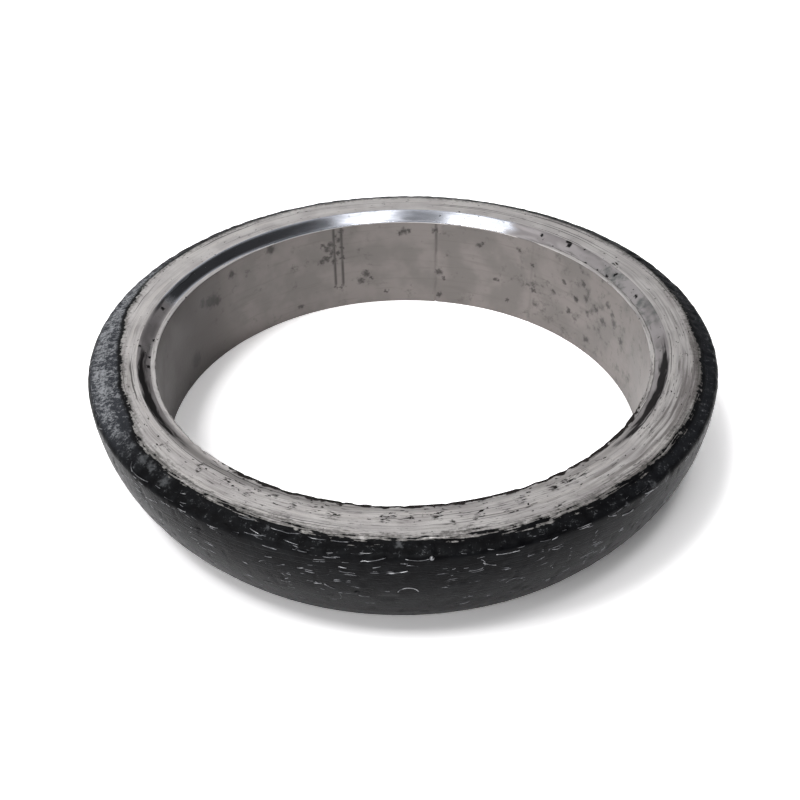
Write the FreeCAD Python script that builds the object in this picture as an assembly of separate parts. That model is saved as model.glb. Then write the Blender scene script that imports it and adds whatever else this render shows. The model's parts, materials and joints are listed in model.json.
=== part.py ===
# Ring gasket for a ball-and-socket exhaust joint, pressed in one piece from a wound strip of knitted
# steel wire filled with graphite. All sizes are in millimetres. The ring's axis is Z and the origin is
# on that axis in the plane of the narrow end, so the wide flat sealing face looks up.

import FreeCAD, Part

import math
import os

# Bore and height
bore_diameter = 55.2
height = 13.0

# Radial widths of the wide end, from the bore outwards: a flat ledge, the countersink that climbs from
# it, the flat sealing face and the sloping shoulder
ledge_width = 0.7
countersink_width = 1.15
face_width = 3.55
shoulder_width = 2.0

# Drops below the flat sealing face, of the ledge and of the widest circle
ledge_drop = 0.85
crest_drop = 1.15

# Flat land of the narrow end, from the bore to where it would meet the ball seat unrounded
nose_width = 2.8

# Roundings of the widest circle, of the narrow end's outer corner, and of the countersink's head and foot
crest_round = 0.7
nose_round = 0.45
countersink_round = 0.8

# Butt seam where the wound strip begins, the full length of the bore
seam_angle = 80.0
seam_width = 0.3
seam_depth = 0.14

# Lap of the strip beside the seam, fainter than it and also the full length of the bore
lap_angle = 52.8
lap_width = 0.2
lap_depth = 0.08

# Folded end of the strip, pressed into the bore wall from the lip down to this floor
tab_angle = 107.6
tab_width = 1.35
tab_floor = 3.1
tab_depth = 0.12

# Radii and levels that follow from the sizes above
bore_radius = bore_diameter / 2
ledge_radius = bore_radius + ledge_width
countersink_radius = ledge_radius + countersink_width
face_radius = countersink_radius + face_width
outer_radius = face_radius + shoulder_width
nose_radius = bore_radius + nose_width
ledge_level = height - ledge_drop
crest_level = height - crest_drop


def point(radius, level):
    """A point of the section, which lies in the XZ plane."""
    return FreeCAD.Vector(radius, 0, level)


def line(start, end):
    return Part.LineSegment(start, end).toShape()


def arc(start, end, centre):
    """The shorter circular arc from start to end about centre."""
    towards_middle = start.add(end).multiply(0.5).sub(centre).normalize()
    middle = centre.add(towards_middle * start.distanceToPoint(centre))
    return Part.Arc(start, middle, end).toShape()


def touching(centre, radius, outside):
    """Where the line from the point outside touches the circle, on its outer side."""
    to_outside = outside.sub(centre)
    turn = math.acos(radius / to_outside.Length)
    angle = math.atan2(to_outside.z, to_outside.x) - turn
    return centre.add(point(radius * math.cos(angle), radius * math.sin(angle)))


# The ball seat leaves the widest circle upright and aims at the nose's corner as if it were sharp
seat_inset = outer_radius - nose_radius
seat_radius = (seat_inset**2 + crest_level**2) / (2 * seat_inset)
seat_centre = point(outer_radius - seat_radius, crest_level)


def section():
    """Half section of the ring, from the bore's foot out over the nose and back over the top."""
    bore_foot = point(bore_radius, 0)
    face_edge = point(face_radius, height)
    countersink_edge = point(countersink_radius, height)
    ledge_edge = point(ledge_radius, ledge_level)
    lip = point(bore_radius, ledge_level)

    # The nose's rounding touches the land below it and the ball seat beside it
    nose_reach = math.sqrt((seat_radius - nose_round) ** 2 - (crest_level - nose_round) ** 2)
    nose_centre = point(seat_centre.x + nose_reach, nose_round)
    land_edge = point(nose_centre.x, 0)
    seat_foot = seat_centre.add(nose_centre.sub(seat_centre).normalize() * seat_radius)

    # The crest's rounding carries the upright end of the ball seat over into the shoulder
    crest = point(outer_radius, crest_level)
    crest_centre = point(outer_radius - crest_round, crest_level)
    shoulder_foot = touching(crest_centre, crest_round, face_edge)

    # The countersink's head and foot are rounded alike, each into the flat beside it
    climb = countersink_edge.sub(ledge_edge).normalize()
    easing = countersink_round * math.tan(math.atan2(ledge_drop, countersink_width) / 2)
    head_flat = countersink_edge.add(point(easing, 0))
    head_slope = countersink_edge.sub(climb * easing)
    foot_slope = ledge_edge.add(climb * easing)
    foot_flat = ledge_edge.sub(point(easing, 0))
    head_centre = head_flat.sub(point(0, countersink_round))
    foot_centre = foot_flat.add(point(0, countersink_round))

    outline = [
        line(bore_foot, land_edge),
        arc(land_edge, seat_foot, nose_centre),
        arc(seat_foot, crest, seat_centre),
        arc(crest, shoulder_foot, crest_centre),
        line(shoulder_foot, face_edge),
        line(face_edge, head_flat),
        arc(head_flat, head_slope, head_centre),
        line(head_slope, foot_slope),
        arc(foot_slope, foot_flat, foot_centre),
        line(foot_flat, lip),
        line(lip, bore_foot),
    ]
    return Part.Face(Part.Wire(outline))


def bore_groove(angle, width, depth, floor):
    """A straight groove in the bore wall at this angle, from floor up through the lip."""
    groove = Part.makeBox(bore_radius + depth, width, height - floor)
    groove.translate(FreeCAD.Vector(0, -width / 2, floor))
    groove.rotate(FreeCAD.Vector(0, 0, 0), FreeCAD.Vector(0, 0, 1), angle)
    return groove


def gasket_ring():
    """The whole gasket: the turned section with its seam, lap and tab marks in the bore."""
    ring = section().revolve(FreeCAD.Vector(0, 0, 0), FreeCAD.Vector(0, 0, 1), 360)
    grooves = [
        bore_groove(seam_angle, seam_width, seam_depth, 0),
        bore_groove(lap_angle, lap_width, lap_depth, 0),
        bore_groove(tab_angle, tab_width, tab_depth, tab_floor),
    ]
    return ring.cut(grooves)


os.makedirs("parts", exist_ok=True)
ring = gasket_ring()
ring.exportStep("parts/gasket_ring.step")
print(f"gasket_ring: outside diameter {2 * outer_radius:.2f}, bore {bore_diameter:.2f}, height {height:.2f}")
print(f"ball seat radius in section {seat_radius:.2f}, volume {ring.Volume / 1000:.2f} cm3")
print(f"solids {len(ring.Solids)}, valid {ring.isValid()}")
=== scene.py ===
import json
import math
import random
from functools import partial

import bmesh
import bpy
from mathutils import Matrix, Vector, noise


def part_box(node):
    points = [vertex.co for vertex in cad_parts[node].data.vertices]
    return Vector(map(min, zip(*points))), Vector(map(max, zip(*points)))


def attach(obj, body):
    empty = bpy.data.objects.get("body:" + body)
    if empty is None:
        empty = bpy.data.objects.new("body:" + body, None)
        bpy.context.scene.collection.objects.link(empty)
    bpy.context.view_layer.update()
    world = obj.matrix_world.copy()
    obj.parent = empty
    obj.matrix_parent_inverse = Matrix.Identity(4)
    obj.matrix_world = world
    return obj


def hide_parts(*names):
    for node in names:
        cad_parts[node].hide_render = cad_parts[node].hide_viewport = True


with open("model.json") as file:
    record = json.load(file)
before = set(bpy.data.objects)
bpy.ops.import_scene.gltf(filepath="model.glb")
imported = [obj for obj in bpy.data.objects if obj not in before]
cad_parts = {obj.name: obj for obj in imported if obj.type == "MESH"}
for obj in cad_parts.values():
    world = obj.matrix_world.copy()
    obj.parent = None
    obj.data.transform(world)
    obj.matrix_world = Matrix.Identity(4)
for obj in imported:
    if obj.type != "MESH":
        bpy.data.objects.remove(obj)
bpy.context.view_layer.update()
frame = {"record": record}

mm = 0.001
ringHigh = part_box("gasket_ring")[1]
outerRadius = ringHigh[0]
ringHeight = ringHigh[2]
boreRadius = next(m for m in frame["record"]["mounts"] if m["name"] == "bore")["dims"]["r_mm"] * mm
print(f"frame: outside radius {outerRadius:.5f}, bore radius {boreRadius:.5f}, height {ringHeight:.5f}")


def hexColour(code):  # sRGB hex to the linear colour that shaders take
    channels = [int(code[i : i + 2], 16) / 255 for i in (1, 3, 5)]
    return [c / 12.92 if c <= 0.04045 else ((c + 0.055) / 1.055) ** 2.4 for c in channels] + [1]


# A node with its settings, and a value, colour or link for each input
def addNode(tree, kind, links=None, **settings):
    made = tree.nodes.new("ShaderNode" + kind)
    for name, value in settings.items():
        setattr(made, name, value)
    for key, value in (links or {}).items():
        if isinstance(value, bpy.types.NodeSocket):
            tree.links.new(value, made.inputs[key])
        elif isinstance(value, str):
            made.inputs[key].default_value = hexColour(value)
        else:
            made.inputs[key].default_value = value
    return made.outputs


def meshFrom(bm, name):
    mesh = bpy.data.meshes.new(name)
    bm.to_mesh(mesh)
    bm.free()
    return mesh


def pieceFrom(bm, name):
    piece = bpy.data.objects.new(name, meshFrom(bm, name))
    bpy.context.collection.objects.link(piece)
    return piece


def smoothStep(value, low, high):  # 0 below low, 1 above high, eased between
    t = max(0, min(1, (value - low) / (high - low)))
    return t * t * (3 - 2 * t)


def grain(place, size, seed):  # smooth noise from -1 to 1, with lumps of this size in millimetres
    return noise.noise(place / (size * mm) + Vector((seed, -seed, seed * 0.5)))


def turnFrom(angle, other):  # signed degrees from other to angle, the short way
    return (angle - other + 180) % 360 - 180


# The pressed section, in millimetres where the frame doesn't give it
ring = {
    "ledgeWidth": 0.7,
    "countersinkWidth": 1.15,
    "faceWidth": 3.55,
    "ledgeDrop": 0.85,
    "crestDrop": 1.15,
    "noseWidth": 2.8,
    "crestRound": 0.7,
    "noseRound": 0.45,
    "countersinkRound": 0.8,
    "lipRound": 0.12,
    "turns": 1000,  # steps of the spin, 0.22 mm apart at the outside
    "sharpFrom": 25,  # degrees between two faces
    "rows": {
        "land": 4, "nose": 3, "seat": 25, "crest": 5, "shoulder": 9, "face": 14, "head": 4, "cone": 4,
        "foot": 4, "ledge": 3, "lip": 3, "lipBand": 3, "bore": 16,
    },
    "lipBand": 0.5,  # top of the bore wall that has finer rows
    "merge": 0.002,  # vertices nearer than this are one
}


def sectionPlaces():  # centres, radii and turns that follow from the sizes, as part of one tangent outline
    places = {"ledge": boreRadius + ring["ledgeWidth"] * mm}
    places["head"] = places["ledge"] + ring["countersinkWidth"] * mm
    places["face"] = places["head"] + ring["faceWidth"] * mm
    places["ledgeLevel"] = ringHeight - ring["ledgeDrop"] * mm
    places["crestLevel"] = crestLevel = ringHeight - ring["crestDrop"] * mm
    noseRound = ring["noseRound"] * mm
    inset = outerRadius - boreRadius - ring["noseWidth"] * mm
    places["seatCurve"] = seatCurve = (inset**2 + crestLevel**2) / (2 * inset)
    places["seatCentre"] = seatCentre = Vector((outerRadius - seatCurve, 0, crestLevel))
    noseReach = math.sqrt((seatCurve - noseRound) ** 2 - (crestLevel - noseRound) ** 2)
    places["noseCentre"] = noseCentre = Vector((seatCentre.x + noseReach, 0, noseRound))
    places["seatStart"] = math.atan2(noseCentre.z - seatCentre.z, noseCentre.x - seatCentre.x)
    places["crestCentre"] = Vector((outerRadius - ring["crestRound"] * mm, 0, crestLevel))
    toFace = Vector((places["face"], 0, ringHeight)) - places["crestCentre"]
    places["crestTurn"] = math.atan2(toFace.z, toFace.x) - math.acos(ring["crestRound"] * mm / toFace.length)
    places["climb"] = math.atan2(ring["ledgeDrop"], ring["countersinkWidth"])
    places["easing"] = ring["countersinkRound"] * mm * math.tan(places["climb"] / 2)
    return places


section = sectionPlaces()


def drawSection(bm):  # half section as a closed wire in the XZ plane, from the bore's foot outwards
    def lineTo(tip, radius, level, rows):
        step = (Vector((radius, 0, level)) - tip.co) / rows
        for _ in range(rows):
            start = tip.co.copy()
            tip = bmesh.ops.extrude_vert_indiv(bm, verts=[tip])["verts"][0]
            tip.co = start + step
        return tip

    def arcAbout(tip, centre, angle, rows):
        turn = {"cent": centre, "axis": (0, -1, 0), "angle": angle, "steps": rows}
        swept = bmesh.ops.spin(bm, geom=[tip], use_duplicate=False, **turn)
        return next(part for part in swept["geom_last"] if isinstance(part, bmesh.types.BMVert))

    rows = ring["rows"]
    tip = bm.verts.new((boreRadius, 0, 0))
    tip = lineTo(tip, section["noseCentre"].x, 0, rows["land"])
    tip = arcAbout(tip, section["noseCentre"], math.pi / 2 + section["seatStart"], rows["nose"])
    tip = arcAbout(tip, section["seatCentre"], -section["seatStart"], rows["seat"])
    tip = arcAbout(tip, section["crestCentre"], section["crestTurn"], rows["crest"])
    tip = lineTo(tip, section["face"], ringHeight, rows["shoulder"])
    climb, easing, curve = section["climb"], section["easing"], ring["countersinkRound"] * mm
    footRadius = section["ledge"] + easing * math.cos(climb)
    footLevel = section["ledgeLevel"] + easing * math.sin(climb)
    tip = lineTo(tip, section["head"] + easing, ringHeight, rows["face"])
    tip = arcAbout(tip, (section["head"] + easing, 0, ringHeight - curve), climb, rows["head"])
    tip = lineTo(tip, footRadius, footLevel, rows["cone"])
    tip = arcAbout(tip, (section["ledge"] - easing, 0, section["ledgeLevel"] + curve), -climb, rows["foot"])
    lipRound = ring["lipRound"] * mm
    lipCentre = (boreRadius + lipRound, 0, section["ledgeLevel"] - lipRound)
    tip = lineTo(tip, boreRadius + lipRound, section["ledgeLevel"], rows["ledge"])
    tip = arcAbout(tip, lipCentre, math.pi / 2, rows["lip"])
    tip = lineTo(tip, boreRadius, section["ledgeLevel"] - ring["lipBand"] * mm, rows["lipBand"])
    lineTo(tip, boreRadius, 0, rows["bore"])
    bmesh.ops.remove_doubles(bm, verts=bm.verts, dist=ring["merge"] * mm)


# Wear of the real ring, in degrees round it and millimetres
wear = {
    "metalEdge": [  # angle, radius that the bare metal of the sealing face reaches there
        (0, 32.8), (12, 32.9), (30, 33.15), (90, 33.3), (154, 33.2), (168, 32.5), (180, 31.6), (190, 31.25),
        (204, 31.3), (217, 32.5), (240, 32.9), (270, 33.1), (300, 33.3), (340, 33.15), (360, 32.8),
    ],
    "metalStep": 0.07,  # height of the metal skin over the graphite beside it
    "chippedLip": {"reach": 0.7, "depth": 0.1},  # the lip's front half is chipped, up to this far from it
    "seam": {"angle": 80.2, "width": 0.3, "depth": 0.12},
    "lap": {"angle": 52.0, "width": 0.3, "depth": 0.03},
    "wideCone": {"from": (44, 56), "to": (122, 150), "reach": 0.42},  # the cone runs on nearly to the lip
    "tab": {"angle": 107.4, "width": 1.3, "floor": 3.1, "line": 0.27, "depth": 0.1, "inside": 0.03},
    # roughness of each surface: height and size of its lumps, and a seed
    "lumps": {
        "bore": [(0.012, 5, 4.0)],
        "face": [(0.012, 6, 1.0), (0.008, 1.5, 1.5)],
        "countersink": [(0.008, 4, 2.0)],
        "seat": [(0.03, 7, 5.0), (0.015, 1.6, 6.0)],
    },
    "pock": 0.1,  # depth of the odd hollow in the seat
}


def metalEdge(angle, place):  # radius in millimetres where the bare metal ends, which wanders a little
    table = wear["metalEdge"]
    for (before, low), (after, high) in zip(table, table[1:]):
        if before <= angle <= after:
            edge = low + (high - low) * smoothStep(angle, before, after)
            return edge + 0.16 * grain(place, 1.8, 3.1) + 0.12 * grain(place, 0.7, 7.7)
    return table[0][1]


def lumpDepth(surface, place):  # how far this surface lies inside the die's own form, in millimetres
    return sum(height * (1 + grain(place, size, seed)) for height, size, seed in wear["lumps"][surface])


def seatDepth(place):  # the same for the graphite outside, which is roughest on the shoulder
    level = place.z / mm
    shoulder = smoothStep(level, 11.9, 12.4)
    depth = lumpDepth("seat", place) + (0.02 + 0.05 * shoulder) * (1 + grain(place, 0.9, 8.0))
    depth += wear["pock"] * smoothStep(grain(place, 0.8, 9.0), 0.38, 0.62)
    return smoothStep(level, 0.0, 1.5) * depth


def lipChip(place, angle, away):  # the same for the front half of the lip, this far from it
    reach = wear["chippedLip"]["reach"]
    if away >= reach:
        return 0
    front = smoothStep(-math.sin(math.radians(angle)), -0.2, 0.4)
    chip = smoothStep(grain(place, 0.8, 11.0) + 0.4 * grain(place, 2.5, 12.0), -0.1, 0.45)
    return wear["chippedLip"]["depth"] * chip * front * (1 - smoothStep(away, 0.2, reach))


def boreMark(angle, level):  # how dark and how deep the seam, the lap and the folded end are here
    across = boreRadius / mm * math.radians(1)
    height = level / mm
    patchy = 0.55 + 0.45 * noise.noise(Vector((2.1, angle / 9, height / 1.7)))
    dark, deep = 0, 0
    for name, strength in (("seam", 0.3 + 0.7 * smoothStep(height, 5.5, 9.5)), ("lap", 0.22)):
        line = wear[name]
        wander = 0.14 * noise.noise(Vector((0, line["angle"], height / 1.5)))
        away = abs(turnFrom(angle, line["angle"]) * across - wander) / line["width"]
        share = 1 - smoothStep(away, 0.15, 0.75)
        dark = max(dark, share * strength * patchy)
        deep = max(deep, share * line["depth"])
    tab = wear["tab"]
    if height > tab["floor"]:
        away = abs(turnFrom(angle, tab["angle"]) * across)
        side = 1 - smoothStep(abs(away - tab["width"] / 2 + tab["line"] / 2) / tab["line"], 0.2, 0.9)
        inside = 1 - smoothStep(away, tab["width"] / 2 - 0.1, tab["width"] / 2)
        foot = (1 - smoothStep(height - tab["floor"], 0.15, 0.6)) * inside
        dark = max(dark, side * (0.5 + 0.5 * patchy), foot * 0.75)
        deep = max(deep, side * tab["depth"], foot * tab["depth"], inside * tab["inside"])
    return dark, deep


def wideShare(angle):  # 1 where the cone runs on nearly to the lip
    wide = wear["wideCone"]
    return smoothStep(angle, *wide["from"]) * (1 - smoothStep(angle, *wide["to"]))


def coneReach(angle, radius):  # how far the cone's foot and what is near it lie towards the bore, in metres
    near = smoothStep(radius, boreRadius + ring["lipRound"] * mm, section["ledge"])
    near *= 1 - max(0, radius - section["ledge"]) / (section["head"] - section["ledge"])
    return wear["wideCone"]["reach"] * mm * wideShare(angle) * max(0, near)


def wearRing(bm):  # moves the skin inwards where the real one is dented, chipped or stepped
    edgeLayer = bm.verts.layers.float.new("metalEdge")
    markLayer = bm.verts.layers.float.new("boreMark")
    close = 0.01 * mm  # a vertex this near the bore wall or the face's plane is on it
    moves = []
    for vert in bm.verts:
        place = vert.co.copy()
        radius = math.hypot(place.x, place.y)
        angle = math.degrees(math.atan2(place.y, place.x)) % 360
        level = place.z
        onTop = level > ringHeight / 2 and radius > section["ledge"]
        vert[edgeLayer] = metalEdge(angle, place) - radius / mm if onTop else -5  # far from the bare metal
        depth = 0
        if radius < boreRadius + close:
            vert[markLayer], deep = boreMark(angle, level)
            depth = lumpDepth("bore", place) + deep
        elif level > ringHeight - close:
            bared = smoothStep(vert[edgeLayer], -0.25, 0.05)
            depth = lumpDepth("face", place) + wear["metalStep"] * (1 - bared)
        elif radius < section["head"] + section["easing"] and level > ringHeight / 2:
            depth = lumpDepth("countersink", place)
        elif level > 2 * close:
            depth = seatDepth(place)
        lipAway = math.hypot(radius - boreRadius, level - section["ledgeLevel"]) / mm
        depth += lipChip(place, angle, lipAway)
        move = vert.normal * (-depth * mm)
        if level > ringHeight / 2 and radius < section["head"]:
            move -= Vector((place.x, place.y, 0)).normalized() * coneReach(angle, radius)
        moves.append((vert, move))
    for vert, move in moves:
        vert.co += move


# Where the ring has another finish than pressed mesh, in millimetres and degrees
finishes = {
    "boreOver": 0.02,  # how far past the bore wall its own finish goes
    "ledgeOver": 0.1,  # how far the polish goes past the countersink's foot
    "wideOver": 0.54,  # how much further it goes where the cone is wide
    "headOver": 0.14,  # how far it goes past the countersink's head
    "unpolished": (228, 312),  # the stretch in front where the countersink is finished as the face is
}


def finishAt(centre):  # material slot of a face: 0 pressed mesh, 1 burnished bore, 2 polished countersink
    radius = math.hypot(centre.x, centre.y)
    angle = math.degrees(math.atan2(centre.y, centre.x)) % 360
    if radius < boreRadius + finishes["boreOver"] * mm:
        return 1
    low, high = finishes["unpolished"]
    inner = section["ledge"] - (finishes["ledgeOver"] + finishes["wideOver"] * wideShare(angle)) * mm
    outer = section["head"] + finishes["headOver"] * mm
    polished = inner < radius < outer and centre.z > ringHeight / 2 and not low < angle < high
    return 2 if polished else 0


def buildRing():
    bm = bmesh.new()
    drawSection(bm)
    everything = bm.verts[:] + bm.edges[:]
    turn = {"cent": (0, 0, 0), "axis": (0, 0, 1), "angle": 2 * math.pi, "steps": ring["turns"]}
    bmesh.ops.spin(bm, geom=everything, use_merge=True, use_duplicate=False, **turn)
    bmesh.ops.recalc_face_normals(bm, faces=bm.faces)
    if bm.calc_volume(signed=True) < 0:
        bmesh.ops.reverse_faces(bm, faces=bm.faces)
    bm.normal_update()
    for face in bm.faces:
        face.smooth = True
        face.material_index = finishAt(face.calc_center_median())
    for edge in bm.edges:
        edge.smooth = edge.calc_face_angle(0) < math.radians(ring["sharpFrom"])
    wearRing(bm)
    piece = pieceFrom(bm, "gasket_ring_dressed")
    print(f"ring: {len(piece.data.polygons)} faces")
    return piece


ringPiece = buildRing()


# Knitted wire that shows at the surface of the graphite: lengths in millimetres, angles in degrees
knit = {
    "wireRadius": 0.038,
    "sides": 6,
    "step": 0.22,  # length of each straight piece of a bent wire
    # lengths of wire and the radii they are bent to
    "strokeForms": ((0.45, 3), (0.7, 5), (0.9, 2), (1.2, 6), (1.6, 14)),
    "archForms": ((1.6, 0.75), (2.0, 1.0), (1.3, 1.2)),
    "endForms": ((0.24, 2), (0.34, 1), (0.42, 3)),
    "strokes": 620,  # lengths that lie along the ring, some of them in pairs
    "columns": 52,  # stitch ends one above another
    "arches": 60,  # tops of loops
    "crestStrokes": 150,
    "lowest": -8.5,  # run down the seat from the widest circle that wire shows at
    "proud": (0.0, 0.03),  # least and most that a wire stands out of the graphite
    "brightRadius": 0.04,
    "brightProud": 0.055,
    "seed": 11,
}


def runAt(level):  # run up the skin, in millimetres from the widest circle, to this level of the outside
    rise = level - section["crestLevel"] / mm
    seatCurve, crestRound = section["seatCurve"] / mm, ring["crestRound"]
    if rise <= 0:
        return seatCurve * math.asin(rise / seatCurve)
    crestTop = crestRound * math.sin(section["crestTurn"])
    if rise <= crestTop:
        return crestRound * math.asin(rise / crestRound)
    return crestRound * section["crestTurn"] + (rise - crestTop) / math.cos(section["crestTurn"])


def skinPlace(angle, run):  # a place on the outside and its way out
    crestRun = ring["crestRound"] * section["crestTurn"]
    if run <= 0:
        centre, curve, slope = section["seatCentre"], section["seatCurve"], run * mm / section["seatCurve"]
    else:
        centre, curve = section["crestCentre"], ring["crestRound"] * mm
        slope = min(run, crestRun) / ring["crestRound"]
    out = Vector((math.cos(slope), 0, math.sin(slope)))
    spot = centre + out * curve + Vector((-out.z, 0, out.x)) * max(0, run - crestRun) * mm
    turn = Matrix.Rotation(math.radians(angle), 3, "Z")
    return turn @ spot, turn @ out


# One length of wire with capped ends, lying flat with its middle at the origin and bent to this radius
def wireLength(length, bend, radius=knit["wireRadius"], bright=False):
    bm = bmesh.new()
    start = Matrix.Translation((0, -bend * mm, 0)) @ Matrix.Rotation(math.pi / 2, 4, "Y")
    rim = bmesh.ops.create_circle(bm, segments=knit["sides"], radius=radius * mm, matrix=start)["verts"]
    sweep, steps = length / bend, max(3, round(length / knit["step"]))
    bmesh.ops.rotate(bm, verts=rim, cent=(0, 0, 0), matrix=Matrix.Rotation(-sweep / 2, 3, "Z"))
    turn = {"cent": (0, 0, 0), "axis": (0, 0, 1), "angle": sweep, "steps": steps}
    bmesh.ops.spin(bm, geom=bm.edges[:], use_duplicate=False, **turn)
    bmesh.ops.holes_fill(bm, edges=[edge for edge in bm.edges if edge.is_boundary])
    bmesh.ops.recalc_face_normals(bm, faces=bm.faces)
    bmesh.ops.translate(bm, verts=bm.verts, vec=(0, bend * mm, 0))
    for face in bm.faces:
        face.smooth = True
        face.material_index = int(bright)
    return meshFrom(bm, "wire_length")


def layOn(bm, template, angle, run, tilt, proud):  # wraps a copy on the skin and beds it in the graphite
    laid = template.copy()
    laid.transform(Matrix.Rotation(math.radians(tilt), 4, "Z"))
    for vert in laid.vertices:
        x, y, z = vert.co / mm
        spot, out = skinPlace(angle + math.degrees(x / outerRadius * mm), run + y)
        sunk = seatDepth(spot) + knit["wireRadius"] - proud * (0.9 + 0.5 * grain(spot, 0.7, 21))
        vert.co = spot + out * (z - sunk) * mm
    bm.from_mesh(laid)
    bpy.data.meshes.remove(laid)


# Lengths that catch the light in the real one: angle and level of one end, then of the other
brightWires = [
    (217.9, 12.6, 219.6, 12.2), (219.6, 12.19, 224.0, 12.4), (231.8, 12.0, 233.5, 12.03),
    (230.5, 12.75, 231.5, 12.81), (238.5, 11.82, 240.0, 11.97), (245.0, 12.63, 247.0, 12.54),
    (243.5, 8.29, 244.5, 8.19), (242.2, 12.86, 245.2, 12.9), (248.2, 12.8, 253.2, 12.83),
    (254.5, 12.8, 257.5, 12.79), (258.2, 12.8, 261.2, 12.81), (253.5, 12.12, 255.0, 12.09),
    (257.5, 11.91, 259.5, 11.94), (258.0, 12.3, 259.0, 12.39), (253.2, 9.77, 254.2, 9.9),
    (255.0, 10.48, 255.8, 10.55), (263.2, 11.72, 267.0, 12.23), (269.8, 12.15, 271.8, 11.97),
    (271.8, 11.97, 273.6, 12.12), (255.5, 7.78, 256.8, 7.95), (257.2, 7.91, 258.8, 7.24),
    (259.8, 10.87, 261.0, 10.77), (259.8, 10.29, 261.2, 10.13), (265.0, 11.07, 266.2, 11.3),
    (267.0, 10.35, 270.2, 10.64), (263.0, 12.5, 265.0, 12.54), (290.5, 12.03, 292.2, 11.94),
    (292.5, 11.8, 293.5, 11.97), (297.0, 12.06, 299.5, 12.03), (297.3, 11.86, 299.2, 11.85),
    (302.8, 11.94, 304.5, 11.5), (306.0, 10.94, 308.5, 10.81), (311.0, 11.94, 313.0, 11.75),
    (282.2, 12.39, 283.2, 12.28), (283.5, 11.62, 287.2, 11.56), (281.5, 10.87, 283.5, 10.3),
    (292.8, 10.35, 294.8, 10.38), (278.2, 12.36, 279.0, 12.28), (248.0, 10.35, 249.2, 10.42),
    (206.0, 12.2, 206.8, 12.4),
]
brightArch = {"angle": 270.2, "level": 8.15, "length": 2.5, "bend": 1.05, "radius": 0.046, "proud": 0.05}
bead = {"angle": 273.75, "level": 12.2, "radius": 0.24, "proud": 0.06}  # melted end of a wire


def buildWires():
    dice = random.Random(knit["seed"])
    strokes = [wireLength(*form) for form in knit["strokeForms"]]
    arches = [wireLength(*form) for form in knit["archForms"]]
    ends = [wireLength(*form) for form in knit["endForms"]]
    bm = bmesh.new()

    def lay(template, angle, run, tilt):
        layOn(bm, template, angle, run, tilt, dice.uniform(*knit["proud"]))

    for _ in range(knit["strokes"]):
        angle, run = dice.uniform(0, 360), knit["lowest"] * dice.random() ** 1.4
        if noise.noise(Vector((angle / 9, run / 2, 3.3))) < -0.12:
            continue
        tilt = dice.gauss(0, 9) + dice.choice((0, 180))
        template = dice.choice(strokes)
        lay(template, angle, run, tilt)
        if dice.random() < 0.4:
            lay(template, angle + dice.uniform(-0.5, 0.5), run - dice.uniform(0.2, 0.3), tilt)
    for _ in range(knit["columns"]):
        angle, run = dice.uniform(0, 360), dice.uniform(-3.5, -0.3)
        for _ in range(dice.randint(4, 10)):
            run -= dice.uniform(0.42, 0.6)
            if run < knit["lowest"]:
                break
            template, side = dice.choice(ends), angle + dice.gauss(0, 0.25)
            lay(template, side, run, dice.choice((-25, 25)) + dice.gauss(0, 12))
    for _ in range(knit["arches"]):
        template, angle = dice.choice(arches), dice.uniform(0, 360)
        lay(template, angle, knit["lowest"] * dice.random(), dice.choice((0, 180, 180, 90)))
    for _ in range(knit["crestStrokes"]):
        lay(dice.choice(strokes), dice.uniform(0, 360), dice.uniform(-0.3, 1.0), dice.gauss(0, 5))

    for angle, level, otherAngle, otherLevel in brightWires:
        run, otherRun = runAt(level), runAt(otherLevel)
        across = math.radians(otherAngle - angle) * outerRadius / mm
        length = math.hypot(across, otherRun - run)
        tilt = math.degrees(math.atan2(otherRun - run, across))
        template = wireLength(length, 3 * length, knit["brightRadius"], bright=True)
        layOn(bm, template, (angle + otherAngle) / 2, (run + otherRun) / 2, tilt, knit["brightProud"])
    template = wireLength(brightArch["length"], brightArch["bend"], brightArch["radius"], bright=True)
    layOn(bm, template, brightArch["angle"], runAt(brightArch["level"]), 180, brightArch["proud"])

    ball = bmesh.new()
    bmesh.ops.create_icosphere(ball, subdivisions=2, radius=bead["radius"] * mm)
    for face in ball.faces:
        face.smooth = True
        face.material_index = 1
    layOn(bm, meshFrom(ball, "wire_bead"), bead["angle"], runAt(bead["level"]), 0, bead["proud"])

    piece = pieceFrom(bm, "wire_ends")
    print(f"wires: {len(piece.data.polygons)} faces")
    return piece


wirePiece = buildWires()

# Settings that many nodes share. A noise's Scale is in lumps for each millimetre
eased = {"interpolation_type": "SMOOTHSTEP"}  # a Map Range node that eases in and out
colours = {"data_type": "RGBA"}  # a Mix node for colours: inputs 0, 6 and 7, output 2
times = {"operation": "MULTIPLY"}
less = {"operation": "SUBTRACT"}
larger = {"operation": "MAXIMUM"}
plus = {"operation": "MULTIPLY_ADD"}  # the first input times the second, plus the third


def newMaterial(name):  # with the function that adds nodes to it
    material = bpy.data.materials.new(name)
    material.use_nodes = True
    material.node_tree.nodes.clear()
    return material, partial(addNode, material.node_tree)


def surfaced(material, links):  # the material with a Principled surface that has these links
    shader = addNode(material.node_tree, "BsdfPrincipled", links)[0]
    addNode(material.node_tree, "OutputMaterial", {"Surface": shader})
    return material


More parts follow.
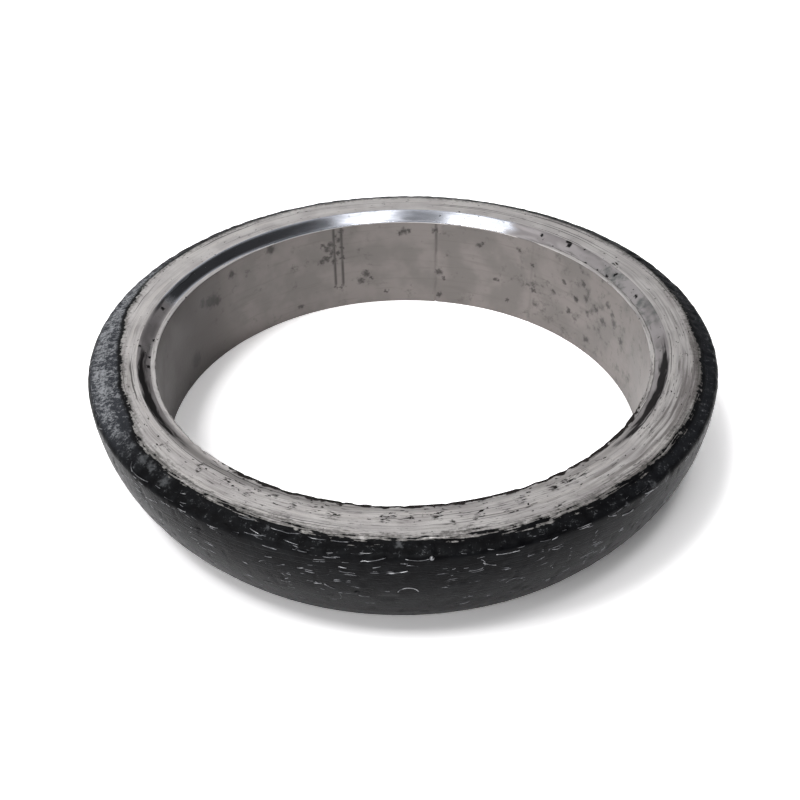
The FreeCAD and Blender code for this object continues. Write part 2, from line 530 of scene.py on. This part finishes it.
# Where a point lies: its place, radius, height and run across the skin in millimetres, and its way out
def ringSpace(add):
    texture = add("TexCoord")
    place = add("VectorMath", {0: texture["Object"], "Scale": 1 / mm}, operation="SCALE")[0]
    flat = add("VectorMath", {0: place, 1: (1, 1, 0)}, **times)[0]
    radius = add("VectorMath", {0: flat}, operation="LENGTH")["Value"]
    outward = add("VectorMath", {0: flat}, operation="NORMALIZE")[0]
    height = add("SeparateXYZ", {0: place})["Z"]
    across = add("Math", {0: radius, 1: height}, **less)[0]
    waver = add("TexNoise", {"Vector": place, "Scale": 0.3, "Detail": 1.0})[0]
    across = add("Math", {0: waver, 1: 0.35, 2: across}, **plus)[0]
    space = {"add": add, "place": place, "radius": radius, "outward": outward}
    return {**space, "height": height, "across": across}


def roundStreaks(space, length, width, detail):  # noise drawn out round the ring, sized in millimetres
    add, rate = space["add"], outerRadius / mm / length
    run = add("Math", {0: space["across"], 1: 1 / width}, **times)[0]
    side = add("CombineXYZ", {"Z": run})[0]
    spot = add("VectorMath", {0: space["outward"], 1: (rate, rate, rate), 2: side}, **plus)[0]
    return add("TexNoise", {"Vector": spot, "Scale": 1.0, "Detail": detail})[0]


def towards(space, angle, full, none):  # 1 within full degrees of this angle round the ring, 0 past none
    turn = math.radians(angle)
    way = (math.cos(turn), math.sin(turn), 0)
    links = {0: space["outward"], 1: way}
    facing = space["add"]("VectorMath", links, operation="DOT_PRODUCT")["Value"]
    edges = {0: facing, 1: math.cos(math.radians(none)), 2: math.cos(math.radians(full))}
    return space["add"]("MapRange", edges, **eased)[0]


def offRadius(space, middle):  # how far a point lies from a circle of this radius, to either side
    away = space["add"]("Math", {0: space["radius"], 1: middle}, **less)[0]
    return space["add"]("Math", {0: away}, operation="ABSOLUTE")[0]


# 1 in each mark, which has an angle, radius, height and size, and 0 away from them. Their outlines wander by
# rough millimetres, and each fades out from hard to soft times its size
def smudges(space, marks, rough, soft=1.2, hard=0.5):
    add = space["add"]
    wobble = add("TexNoise", {"Vector": space["place"], "Scale": 2.2, "Detail": 2.0})[1]
    shifted = add("VectorMath", {0: wobble, 1: (0.5, 0.5, 0.5)}, **less)[0]
    spot = add("VectorMath", {0: shifted, 1: (rough, rough, rough), 2: space["place"]}, **plus)[0]
    nearest = 2 * soft  # past the reach of any mark
    for angle, radius, height, size in marks:
        turn = math.radians(angle)
        middle = (radius * math.cos(turn), radius * math.sin(turn), height)
        away = add("VectorMath", {0: spot, 1: middle}, operation="DISTANCE")["Value"]
        sized = add("Math", {0: away, 1: size}, operation="DIVIDE")[0]
        nearest = add("Math", {0: sized, 1: nearest}, operation="MINIMUM")[0]
    return add("MapRange", {0: nearest, 1: soft, 2: hard}, **eased)[0]


meshTones = {
    "metal": ("#b9b5b5", "#cbc8c7"),
    "streaks": "#85807d",
    "pale": "#d2cecb",  # broad pale streaks
    "smear": "#66605f",  # graphite dragged over the metal
    "flaws": "#262322",  # cracks, pits and gouges
    "fringe": "#4c4b48",  # thin graphite along the metal's edge
    "soot": ("#08080a", "#121315"),
    "slate": "#36383d",  # worn graphite
    "rubbed": ("#7b7d80", "#909296"),  # at the right, and paler at the left
}
gougeMarks = [  # angle, radius and size of dark marks in the sealing face
    (250.0, 30.0, 0.35), (257.5, 30.4, 0.5), (266.5, 30.35, 0.45), (267.8, 29.9, 0.3), (275.5, 30.35, 0.35),
    (270.5, 30.4, 0.3), (278.2, 31.2, 0.3), (249.8, 31.9, 0.3), (298.2, 29.8, 0.5), (301.5, 29.8, 0.55),
    (304.5, 29.9, 0.45), (291.2, 30.0, 0.4), (296.2, 32.5, 0.35), (282.5, 31.1, 0.3), (288.2, 31.2, 0.25),
    (228.2, 29.9, 0.3), (235.5, 30.0, 0.35), (240.5, 30.4, 0.3), (229.0, 30.5, 0.25), (245.4, 29.8, 0.35),
    (29.4, 30.2, 0.4), (218.6, 30.6, 0.3),
]
rubMarks = [  # angle, radius, height and size of grey patches and slivers on the shoulder
    (214.8, 33.3, 12.9, 0.4), (216.6, 34.0, 12.7, 0.35), (219.2, 33.4, 12.9, 0.6), (221.5, 33.2, 12.95, 0.5),
    (222.5, 33.6, 12.8, 0.4), (226.4, 33.7, 12.8, 0.65), (211.0, 33.6, 12.8, 0.5), (243.5, 33.2, 12.95, 0.3),
    (245.0, 33.2, 12.95, 0.3), (247.6, 33.5, 12.85, 0.35), (253.2, 33.4, 12.85, 0.25),
    (268.8, 33.5, 12.85, 0.45), (307.0, 34.9, 12.0, 0.3), (310.8, 35.0, 11.3, 0.4), (313.5, 34.8, 12.3, 0.4),
    (316.8, 35.0, 11.7, 0.35),
]


# Knitted stainless wire and graphite pressed together. The tool's flat has rubbed the sealing face to bare
# metal, matt and streaked round, and the rest is near-black graphite with the soft gloss of a pressed powder
def pressedMesh():
    material, add = newMaterial("pressed wire mesh and graphite")
    space = ringSpace(add)
    place, radius, height = space["place"], space["radius"], space["height"]
    front = towards(space, 275, 25, 85)
    left = towards(space, 180, 16, 42)
    right = towards(space, 350, 10, 50)

    # bare metal: tool streaks 0.15 to 0.5 mm wide
    blotch = add("TexNoise", {"Vector": place, "Scale": 0.3, "Detail": 3.0})[0]
    blotch = add("MapRange", {0: blotch, 1: 0.35, 2: 0.65}, **eased)[0]
    fine = roundStreaks(space, 6.0, 0.16, 3.0)
    # the streaks are real tool marks, but they thin out behind so that the face is paler there: painted sheen
    most = add("MapRange", {0: towards(space, 95, 30, 90), 3: 0.5, 4: 0.12})[0]
    streaks = add("MapRange", {0: fine, 1: 0.42, 2: 0.68, 4: most}, **eased)[0]
    pale = roundStreaks(space, 16.0, 0.5, 2.0)
    pale = add("MapRange", {0: pale, 1: 0.5, 2: 0.72, 4: 0.6}, **eased)[0]

    # graphite dragged over it by the tool at the right, most of it on the outer half
    outer = add("MapRange", {0: radius, 1: 29.6, 2: 32.8, 4: 0.2}, **eased)[0]
    smear = roundStreaks(space, 9.0, 0.35, 5.0)
    smear = add("Math", {0: smear, 1: outer}, operation="ADD")[0]
    smear = add("MapRange", {0: smear, 1: 0.5, 2: 0.76, 4: 0.75}, **eased)[0]
    smear = add("Math", {0: smear, 1: towards(space, 333, 16, 40)}, **times)[0]

    # thin cracks along the streaks, long scratches, small pits and scribbled gouges, most of them in front
    presence = add("TexNoise", {"Vector": place, "Scale": 0.55, "Detail": 2.0})[0]
    presence = add("Math", {0: towards(space, 292, 42, 85), 1: 0.17, 2: presence}, **plus)[0]
    presence = add("MapRange", {0: presence, 1: 0.53, 2: 0.7}, **eased)[0]
    cracks = roundStreaks(space, 1.6, 0.13, 4.0)
    cracks = add("MapRange", {0: cracks, 1: 0.58, 2: 0.68, 4: 0.8}, **eased)[0]
    cracks = add("Math", {0: cracks, 1: presence}, **times)[0]
    scratches = roundStreaks(space, 18.0, 0.16, 0.0)
    scratches = add("MapRange", {0: scratches, 1: 0.7, 2: 0.76, 4: 0.7}, **eased)[0]
    inner = add("MapRange", {0: radius, 1: 32.2, 2: 29.8}, **eased)[0]
    inner = add("Math", {0: inner, 1: front}, **times)[0]
    pits = roundStreaks(space, 0.8, 0.3, 2.0)
    pits = add("Math", {0: inner, 1: 0.05, 2: pits}, **plus)[0]
    pits = add("MapRange", {0: pits, 1: 0.68, 2: 0.74}, **eased)[0]
    marks = [(angle, out, ringHeight / mm, size) for angle, out, size in gougeMarks]
    gouges = smudges(space, marks, 1.3, 1.9)
    scribble = roundStreaks(space, 1.0, 0.16, 3.0)
    scribble = add("MapRange", {0: scribble, 1: 0.44, 2: 0.56}, **eased)[0]
    gouges = add("Math", {0: gouges, 1: scribble}, **times)[0]

    # the ledge is black beside its lip in front, and has a thin dark line along it at the right
    ragged = roundStreaks(space, 1.6, 0.5, 3.0)
    lipWidth = add("MapRange", {0: towards(space, 282, 43, 60), 3: -0.3, 4: 0.42}, **eased)[0]
    lip = add("Math", {0: radius, 1: boreRadius / mm}, **less)[0]
    lip = add("Math", {0: lip, 1: lipWidth}, **less)[0]
    lip = add("Math", {0: ragged, 1: -1.2, 2: lip}, **plus)[0]
    lip = add("MapRange", {0: lip, 1: -0.5, 2: -0.66}, **eased)[0]
    line = offRadius(space, section["ledge"] / mm - 0.15)
    line = add("Math", {0: ragged, 1: -0.3, 2: line}, **plus)[0]
    line = add("MapRange", {0: line, 1: -0.04, 2: -0.12, 4: 0.75}, **eased)[0]
    line = add("Math", {0: line, 1: towards(space, 5, 40, 75)}, **times)[0]
    flaws = cracks
    for flaw in (scratches, pits, gouges, lip, line):
        flaws = add("Math", {0: flaws, 1: flaw}, **larger)[0]

    # graphite: soft lumps, worn to slate grey along the middle of the shoulder, black on the crest
    edge = add("Attribute", attribute_name="metalEdge")["Fac"]
    lumps = add("TexNoise", {"Vector": place, "Scale": 0.8, "Detail": 3.0})[0]
    uneven = add("MapRange", {0: lumps, 1: 0.35, 2: 0.65}, **eased)[0]
    away = add("MapRange", {0: edge, 1: -0.25, 2: -0.7}, **eased)[0]
    upper = add("MapRange", {0: height, 1: 12.0, 2: 12.3}, **eased)[0]
    worn = add("MapRange", {0: radius, 1: 34.95, 2: 34.35}, **eased)[0]
    upper = add("Math", {0: upper, 1: worn}, **times)[0]
    sides = add("Math", {0: right, 1: 0.25, 2: left}, **plus)[0]
    sides = add("Math", {0: sides, 1: upper}, **times)[0]
    slate = add("Math", {0: sides, 1: away}, **times)[0]

    # rubbed bright in grains and patches
    grains = add("TexNoise", {"Vector": place, "Scale": 2.6, "Detail": 5.0, "Roughness": 0.8})[0]
    grains = add("Math", {0: sides, 1: 0.1, 2: grains}, **plus)[0]
    lumps = add("Math", {0: lumps, 1: 0.3, 2: grains}, **plus)[0]
    middle = add("MapRange", {0: offRadius(space, 33.6), 1: 1.0, 2: 0.2}, **eased)[0]
    middle = add("Math", {0: middle, 1: left}, **times)[0]
    lumps = add("Math", {0: middle, 1: 0.06, 2: lumps}, **plus)[0]
    rubbed = add("MapRange", {0: lumps, 1: 0.72, 2: 0.9}, **eased)[0]
    most = add("MapRange", {0: left, 3: 0.6, 4: 1.0})[0]
    for share in (most, away, upper):
        rubbed = add("Math", {0: rubbed, 1: share}, **times)[0]
    patches = add("Math", {0: smudges(space, rubMarks, 1.2, 1.3, 0.2), 1: 0.35}, **times)[0]
    rubbed = add("Math", {0: rubbed, 1: patches}, **larger)[0]

    # the metal ends in slivers, longer in front, along a fringe where the graphite is worn thin
    reach = add("MapRange", {0: front, 3: 0.5, 4: 3.0}, **eased)[0]
    sliver = add("Math", {0: roundStreaks(space, 2.6, 0.3, 3.0), 1: 0.5}, **less)[0]
    edge = add("Math", {0: sliver, 1: reach, 2: edge}, **plus)[0]
    speck = add("TexNoise", {"Vector": place, "Scale": 2.4, "Detail": 2.0})[0]
    edge = add("Math", {0: speck, 1: 0.9, 2: edge}, **plus)[0]
    bare = add("MapRange", {0: edge, 1: 0.38, 2: 0.55}, **eased)[0]
    fringe = add("Math", {0: grains, 1: 2.2, 2: edge}, **plus)[0]
    fringe = add("MapRange", {0: fringe, 1: 2.5, 2: 1.6, 4: 0.75}, **eased)[0]
    outerHalf = add("MapRange", {0: radius, 1: 30.0, 2: 30.8}, **eased)[0]
    fringe = add("Math", {0: fringe, 1: outerHalf}, **times)[0]
    ledgeEnd = section["ledge"] / mm
    ledge = add("MapRange", {0: radius, 1: ledgeEnd + 0.3, 2: ledgeEnd}, **eased)[0]
    high = add("MapRange", {0: height, 1: 11.5, 2: 12.0}, **eased)[0]
    ledge = add("Math", {0: ledge, 1: high}, **times)[0]
    bare = add("Math", {0: bare, 1: ledge}, **larger)[0]

    low, high = meshTones["metal"]
    metal = add("Mix", {0: blotch, 6: low, 7: high}, **colours)[2]
    films = {"streaks": streaks, "pale": pale, "smear": smear, "flaws": flaws, "fringe": fringe}
    for name, share in films.items():
        metal = add("Mix", {0: share, 6: metal, 7: meshTones[name]}, **colours)[2]
    low, high = meshTones["soot"]
    soot = add("Mix", {0: uneven, 6: low, 7: high}, **colours)[2]
    soot = add("Mix", {0: slate, 6: soot, 7: meshTones["slate"]}, **colours)[2]
    low, high = meshTones["rubbed"]
    rubbedTone = add("Mix", {0: left, 6: low, 7: high}, **colours)[2]
    soot = add("Mix", {0: rubbed, 6: soot, 7: rubbedTone}, **colours)[2]
    colour = add("Mix", {0: bare, 6: soot, 7: metal}, **colours)[2]

    sound = add("Math", {0: 1.0, 1: flaws}, **less)[0]
    sound = add("Math", {0: fringe, 1: -0.8, 2: sound}, use_clamp=True, **plus)[0]
    shine = add("Math", {0: bare, 1: sound}, **times)[0]
    shine = add("Math", {0: rubbed, 1: 0.5, 2: shine}, use_clamp=True, **plus)[0]
    metallic = add("Math", {0: shine, 1: 0.7}, **times)[0]
    rough = add("MapRange", {0: bare, 3: 0.36, 4: 0.46})[0]
    rough = add("Math", {0: upper, 1: 0.1, 2: rough}, **plus)[0]
    tooth = add("TexNoise", {"Vector": place, "Scale": 3.5, "Detail": 3.0, "Roughness": 0.6})[0]
    ridges = add("Math", {0: fine, 1: bare}, **times)[0]
    relief = add("Math", {0: ridges, 1: 0.7, 2: tooth}, **plus)[0]
    relief = add("Math", {0: relief, 1: flaws}, **less)[0]
    bump = add("Bump", {"Height": relief, "Strength": 0.5, "Distance": 0.06 * mm})[0]
    links = {"Base Color": colour, "Metallic": metallic, "Roughness": rough, "Normal": bump}
    return surfaced(material, {**links, "Specular IOR Level": 0.05})


boreTones = {
    "wall": ("#746f6c", "#857f7c"),
    "film": "#615c58",
    "paintedShade": "#4b4644",  # painted shade at the left, where the wall faces away from the key light
    "dark": "#262321",
}
boreMarks = [  # angle, height and size of the smudges that show
    (89.2, 10.75, 0.45), (87.9, 10.9, 0.3), (90.2, 10.6, 0.3), (99.8, 4.6, 0.45), (101.4, 3.7, 0.42),
    (98.3, 3.9, 0.28), (80.4, 11.1, 0.4), (79.3, 4.8, 0.45), (77.9, 3.9, 0.25), (79.2, 1.2, 0.4),
    (67.9, 9.6, 0.36), (66.9, 10.0, 0.24), (62.5, 5.1, 0.25), (51.8, 8.8, 0.25), (51.2, 5.1, 0.36),
    (59.2, 2.3, 0.2), (111.0, 7.8, 0.4), (112.3, 7.5, 0.4), (109.8, 7.9, 0.3), (112.0, 9.9, 0.25),
    (119.2, 1.5, 0.36), (94.2, 1.6, 0.22), (33.0, 7.8, 0.4), (28.8, 7.3, 0.38), (20.5, 7.6, 0.5),
    (21.6, 8.5, 0.4), (31.5, 2.0, 0.45), (41.2, 8.4, 0.3), (106.4, 11.4, 0.3), (108.2, 10.9, 0.28),
    (107.2, 10.3, 0.34), (108.4, 9.5, 0.3), (106.4, 9.1, 0.28), (107.6, 8.4, 0.32), (106.2, 7.6, 0.3),
    (108.6, 7.2, 0.34), (148.5, 8.7, 0.8), (150.2, 8.9, 0.6), (158.5, 2.8, 0.9), (127.2, 11.5, 0.5),
    (106.2, 3.2, 0.16), (106.8, 3.05, 0.16), (107.4, 3.0, 0.16), (108.0, 3.05, 0.16), (108.6, 3.2, 0.16),
    (109.6, 9.9, 0.4), (110.5, 9.2, 0.42), (109.2, 8.6, 0.36), (111.2, 9.6, 0.28), (146.8, 8.3, 0.6),
    (152.4, 9.4, 0.5), (140.5, 10.6, 0.45), (25.4, 6.4, 0.45), (36.5, 6.9, 0.4), (24.0, 9.2, 0.4),
    (38.8, 4.6, 0.36), (16.5, 6.2, 0.4), (44.6, 6.2, 0.3), (34.5, 9.6, 0.4), (56.4, 10.4, 0.3),
]


# Bore wall of mesh burnished on the core pin: an even mid grey with a soft gloss, smudged with graphite that
# the pin didn't wipe off
def burnishedBore():
    material, add = newMaterial("burnished wire mesh")
    space = ringSpace(add)
    place = space["place"]
    tone = add("TexNoise", {"Vector": place, "Scale": 0.22, "Detail": 3.0})[0]
    cloud = add("MapRange", {0: tone, 1: 0.38, 2: 0.62}, **eased)[0]
    film = roundStreaks(space, 7.0, 0.5, 3.0)
    film = add("MapRange", {0: film, 1: 0.52, 2: 0.75, 4: 0.3}, **eased)[0]
    specks = add("TexNoise", {"Vector": place, "Scale": 0.6, "Detail": 5.0, "Roughness": 0.7})[0]
    specks = add("Math", {0: towards(space, 30, 16, 38), 1: 0.07, 2: specks}, **plus)[0]
    specks = add("MapRange", {0: specks, 1: 0.57, 2: 0.84, 4: 0.85}, **eased)[0]
    marks = [(angle, boreRadius / mm, height, size) for angle, height, size in boreMarks]
    smudge = smudges(space, marks, 1.1, 1.7, 0.4)
    dark = add("Math", {0: smudge, 1: 0.8, 2: specks}, use_clamp=True, **plus)[0]
    groove = add("Attribute", attribute_name="boreMark")["Fac"]
    dark = add("Math", {0: dark, 1: groove}, **larger)[0]
    low, high = boreTones["wall"]
    colour = add("Mix", {0: cloud, 6: low, 7: high}, **colours)[2]
    # the left of the wall is darkened by a painted shade tone
    for name, share in {"film": film, "paintedShade": towards(space, 172, 8, 38), "dark": dark}.items():
        colour = add("Mix", {0: share, 6: colour, 7: boreTones[name]}, **colours)[2]
    rough = add("MapRange", {0: tone, 1: 0.3, 2: 0.7, 3: 0.42, 4: 0.52}, **eased)[0]
    tooth = add("TexNoise", {"Vector": place, "Scale": 2.5, "Detail": 3.0})[0]
    bump = add("Bump", {"Height": tooth, "Strength": 0.3, "Distance": 0.05 * mm})[0]
    return surfaced(material, {"Base Color": colour, "Metallic": 0.3, "Roughness": rough, "Normal": bump})


recessTones = {
    # polished steel grey, with a blue tint that is a painted reflection
    "polished": ("#c8cbd4", "#b0b3bc"),
    "satin": ("#969293", "#7d797a"),
    "frontSatin": "#b4b0af",
    "film": "#5d615f",
    # dark spots, and the painted dark reflection at both sides of the countersink
    "dark": "#0f0d0e",
}
spotMarks = [  # angle, radius, height and size of the dark spots
    (51.2, 29.0, 12.6, 0.32), (43.6, 29.5, 12.95, 0.42), (43.0, 29.1, 12.7, 0.38), (35.8, 28.1, 12.2, 0.36),
    (27.6, 28.2, 12.2, 0.34), (31.2, 28.1, 12.2, 0.26), (26.0, 29.1, 12.6, 0.3), (38.6, 29.5, 12.95, 0.22),
    (182.8, 29.4, 12.95, 0.3), (79.3, 28.9, 12.6, 0.2), (166.5, 28.9, 12.6, 0.34), (16.0, 28.9, 12.5, 0.3),
    (185.4, 28.3, 12.2, 0.3), (186.2, 28.0, 12.15, 0.26), (189.2, 28.4, 12.2, 0.28),
    (189.6, 28.0, 12.15, 0.26), (192.4, 28.0, 12.15, 0.22), (178.6, 28.2, 12.15, 0.22),
    (47.0, 28.2, 12.2, 0.2),
]


# Countersink polished by the punch's nose: close to a mirror, with a thin grey film of graphite in places
def polishedRecess():
    material, add = newMaterial("polished steel countersink")
    space = ringSpace(add)
    place = space["place"]
    tone = roundStreaks(space, 6.0, 0.4, 2.0)
    share = add("MapRange", {0: tone, 1: 0.4, 2: 0.65}, **eased)[0]
    # the polish is best behind, and elsewhere the cone is satin as the sealing face is
    stretch = {0: towards(space, 118, 50, 64), 1: towards(space, 96, 54, 80)}
    polish = add("Math", stretch, operation="MINIMUM")[0]
    polish = add("Math", {0: polish, 1: tone}, operation="ADD")[0]
    satin = add("MapRange", {0: polish, 1: 1.15, 2: 0.75}, **eased)[0]
    greyed = add("Math", {0: towards(space, 10, 1, 8), 1: towards(space, 26, 1, 7)}, **larger)[0]
    cloud = add("TexNoise", {"Vector": place, "Scale": 1.1, "Detail": 4.0, "Roughness": 0.6})[0]
    cloud = add("Math", {0: greyed, 1: 0.2, 2: cloud}, **plus)[0]
    film = add("MapRange", {0: cloud, 1: 0.56, 2: 0.9, 4: 0.85}, **eased)[0]

    specks = add("TexNoise", {"Vector": place, "Scale": 1.8, "Detail": 2.0})[0]
    specks = add("MapRange", {0: specks, 1: 0.68, 2: 0.78, 4: 0.8}, **eased)[0]
    # painted dark reflection under the cone's head at both sides, thinning out at its ends
    streak = roundStreaks(space, 5.0, 0.14, 3.0)
    sides = add("Math", {0: towards(space, 202, 4, 23), 1: towards(space, 336, 5, 24)}, **larger)[0]
    head = section["head"] / mm
    reflectionBand = add("MapRange", {0: offRadius(space, head - 0.42), 1: 0.8, 2: 0.0})[0]
    reflectionBand = add("Math", {0: reflectionBand, 1: sides}, **times)[0]
    soot = add("Math", {0: streak, 1: 1.8, 2: reflectionBand}, **plus)[0]
    soot = add("MapRange", {0: soot, 1: 1.12, 2: 1.6, 4: 0.97}, **eased)[0]
    # a thin line of graphite under the head, where the polish ends
    rim = add("Math", {0: streak, 1: -0.5, 2: offRadius(space, head - 0.12)}, **plus)[0]
    rim = add("MapRange", {0: rim, 1: 0.0, 2: -0.2, 4: 0.85}, **eased)[0]
    rim = add("Math", {0: rim, 1: towards(space, 160, 5, 12)}, **times)[0]
    # dark spots, the painted dark reflection and the line under the head
    dark = specks
    for other in (smudges(space, spotMarks, 0.7), soot, rim):
        dark = add("Math", {0: dark, 1: other}, **larger)[0]

    low, high = recessTones["polished"]
    colour = add("Mix", {0: share, 6: low, 7: high}, **colours)[2]
    low, high = recessTones["satin"]
    satinTone = add("Mix", {0: share, 6: low, 7: high}, **colours)[2]
    front = {0: towards(space, 270, 42, 62), 6: satinTone, 7: recessTones["frontSatin"]}
    satinTone = add("Mix", front, **colours)[2]
    for share, cover in ((satin, satinTone), (film, recessTones["film"]), (dark, recessTones["dark"])):
        colour = add("Mix", {0: share, 6: colour, 7: cover}, **colours)[2]
    rough = add("MapRange", {0: tone, 1: 0.35, 2: 0.7, 3: 0.1, 4: 0.17}, **eased)[0]
    rough = add("Math", {0: film, 1: 0.25, 2: rough}, **plus)[0]
    rough = add("Math", {0: satin, 1: 0.28, 2: rough}, **plus)[0]
    sound = add("MapRange", {0: dark, 1: 1.0, 2: 0.5})[0]
    metallic = add("MapRange", {0: satin, 3: 1.0, 4: 0.5})[0]
    metallic = add("Math", {0: sound, 1: metallic}, **times)[0]
    links = {"Base Color": colour, "Metallic": metallic, "Roughness": rough, "Specular IOR Level": 0.06}
    return surfaced(material, links)


# Drawn stainless wire: dull under a film of graphite, or bright where the die has rubbed it
def stainlessWire(name, dull, clean):
    material, add = newMaterial(name)
    place = ringSpace(add)["place"]
    tone = add("TexNoise", {"Vector": place, "Scale": 0.9, "Detail": 2.0})[0]
    share = add("MapRange", {0: tone, 1: 0.42, 2: 0.62}, **eased)[0]
    colour = add("Mix", {0: share, 6: dull, 7: clean}, **colours)[2]
    rough = add("MapRange", {0: share, 3: 0.45, 4: 0.3})[0]
    return surfaced(material, {"Base Color": colour, "Metallic": 1.0, "Roughness": rough})


for finish in (pressedMesh, burnishedBore, polishedRecess):
    ringPiece.data.materials.append(finish())
wirePiece.data.materials.append(stainlessWire("graphite-filmed stainless wire", "#1b1c1e", "#85868a"))
wirePiece.data.materials.append(stainlessWire("bright stainless wire", "#5c5d60", "#b2b3b6"))
print("materials: done")


# White paper under two flat soft boxes, in a room that is white to the left and behind and dark to the right
studio = {
    "floorSize": 3.0,
    "floorGain": 1.9,  # how much brighter the paper looks than it lights, so that it is white past the shadow
    "paper": (0.885, 0.878, 0.885),  # share of red, green and blue light that it gives back
    "dark": 0.045,  # light from all of the room
    # light of each part of the room, then its edges: an axis, and where on it the part ends and is in full
    "parts": {
        "left": (0.5, ("X", 0.35, -0.45)),
        "behind": (0.45, ("Y", 0.3, 0.8), ("X", 0.6, 0.15)),
        "front": (2.6, ("Y", -0.25, -0.65), ("Z", 0.85, 0.6), ("X", 0.3, -0.5)),
        "overhead": (2.4, ("Y", 0.56, 0.5), ("Z", 0.7, 0.8), ("Y", -0.25, -0.1)),
        "gap": (1.0, ("Z", 0.34, 0.16), ("Y", 0.8, 0.9)),
    },
    "cloths": ((-0.66, -0.215), (0.02, 0.3)),  # left and right sides of two pale cloths overhead
    "hem": 0.03,  # half of the width over which each side fades
    "vanish": 0.7,  # where on Y the sides would meet
    "boxes": [  # place of the middle and size across and along, in metres, and power in watts
        {"name": "key_softbox", "place": (-0.5, -0.3, 1.4), "size": (0.32, 0.3), "power": 7.0},
        {"name": "top_softbox", "place": (0.185, -0.32, 1.4), "size": (0.22, 0.3), "power": 3.0},
    ],
}


def buildFloor():
    bm = bmesh.new()
    bmesh.ops.create_grid(bm, x_segments=1, y_segments=1, size=studio["floorSize"])
    floor = pieceFrom(bm, "white_floor")

    material, add = newMaterial("matt white paper")
    rays = add("LightPath")
    seen = rays["Is Camera Ray"]
    for kind in ("Is Glossy Ray", "Is Transmission Ray"):
        seen = add("Math", {0: seen, 1: rays[kind]}, **larger)[0]
    gain = add("MapRange", {0: seen, 3: 1.0, 4: studio["floorGain"]})[0]
    colour = add("VectorMath", {0: studio["paper"], "Scale": gain}, operation="SCALE")[0]
    paper = add("BsdfDiffuse", {"Color": colour})[0]
    add("OutputMaterial", {"Surface": paper})
    floor.data.materials.append(material)


def roomPart(add, way, name):  # light of one part of the room, faded out past its edges
    light, *edges = studio["parts"][name]
    for axis, none, full in edges:
        share = add("MapRange", {0: way[axis], 1: none, 2: full}, **eased)[0]
        light = add("Math", {0: light, 1: share}, **times)[0]
    return light


def buildRoom():
    world = bpy.data.worlds.new("white_studio")
    bpy.context.scene.world = world
    world.use_nodes = True
    world.node_tree.nodes.clear()
    add = partial(addNode, world.node_tree)
    way = add("SeparateXYZ", {0: add("TexCoord")["Generated"]})
    walls = {0: roomPart(add, way, "left"), 1: roomPart(add, way, "behind")}
    strength = add("Math", walls, operation="ADD")[0]
    strength = add("Math", {0: strength, 1: roomPart(add, way, "front")}, **larger)[0]
    # the cloths are narrower behind, and the polished countersink mirrors them from head to foot
    overhead, hem = roomPart(add, way, "overhead"), studio["hem"]
    depth = add("Math", {0: studio["vanish"], 1: way["Y"]}, **less)[0]
    side = add("Math", {0: way["X"], 1: depth}, operation="DIVIDE")[0]
    for low, high in studio["cloths"]:
        cloth = overhead
        for none, full in ((low - hem, low + hem), (high + hem, high - hem)):
            share = add("MapRange", {0: side, 1: none, 2: full})[0]
            cloth = add("Math", {0: cloth, 1: share}, **times)[0]
        strength = add("Math", {0: strength, 1: cloth}, **larger)[0]
    # the gap above the far edge of the paper is dark
    lit = add("Math", {0: 1.0, 1: roomPart(add, way, "gap")}, **less)[0]
    strength = add("Math", {0: strength, 1: lit, 2: studio["dark"]}, **plus)[0]
    rays = add("LightPath")
    seen = add("Math", {0: rays["Is Camera Ray"], 1: rays["Is Transmission Ray"]}, **larger)[0]
    strength = add("Mix", {0: seen, 2: strength, 3: 1.0}, data_type="FLOAT")[0]
    light = add("Background", {"Color": "#ffffff", "Strength": strength})[0]
    add("OutputWorld", {"Surface": light})


def buildBoxes():
    for box in studio["boxes"]:
        lamp = bpy.data.lights.new(box["name"], "AREA")
        lamp.shape = "RECTANGLE"
        lamp.size, lamp.size_y = box["size"]
        lamp.energy = box["power"]
        holder = bpy.data.objects.new(box["name"], lamp)
        holder.location = box["place"]
        bpy.context.collection.objects.link(holder)


buildFloor()
buildRoom()
buildBoxes()


# The photo's camera, in degrees and millimetres: 37 degrees above the floor and two ring widths away
view = {
    "elevation": 37.165,
    "distance": 141.18,
    "right": -0.373,
    "up": 2.934,
    "roll": -0.856,
    "focalPixels": 1182.5,
    "framePixels": 800,
}


def buildCamera():
    slope = math.radians(view["elevation"])
    forward = Vector((0, math.cos(slope), -math.sin(slope)))
    up = Vector((0, math.sin(slope), math.cos(slope)))
    lens = bpy.data.cameras.new("photo_camera")
    lens.sensor_width = 36
    lens.lens = view["focalPixels"] / view["framePixels"] * lens.sensor_width
    lens.clip_start = 0.001
    camera = bpy.data.objects.new("photo_camera", lens)
    place = -forward * view["distance"] + Vector((view["right"], 0, 0)) + up * view["up"]
    turn = Matrix.Rotation(math.pi / 2 - slope, 4, "X") @ Matrix.Rotation(math.radians(view["roll"]), 4, "Z")
    camera.matrix_world = Matrix.Translation(place * mm) @ turn
    bpy.context.collection.objects.link(camera)
    bpy.context.scene.camera = camera


buildCamera()
bpy.context.scene.view_settings.view_transform = "Standard"

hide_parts("gasket_ring")
for piece in (ringPiece, wirePiece):
    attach(piece, "root")

print("pieces: riding on root")
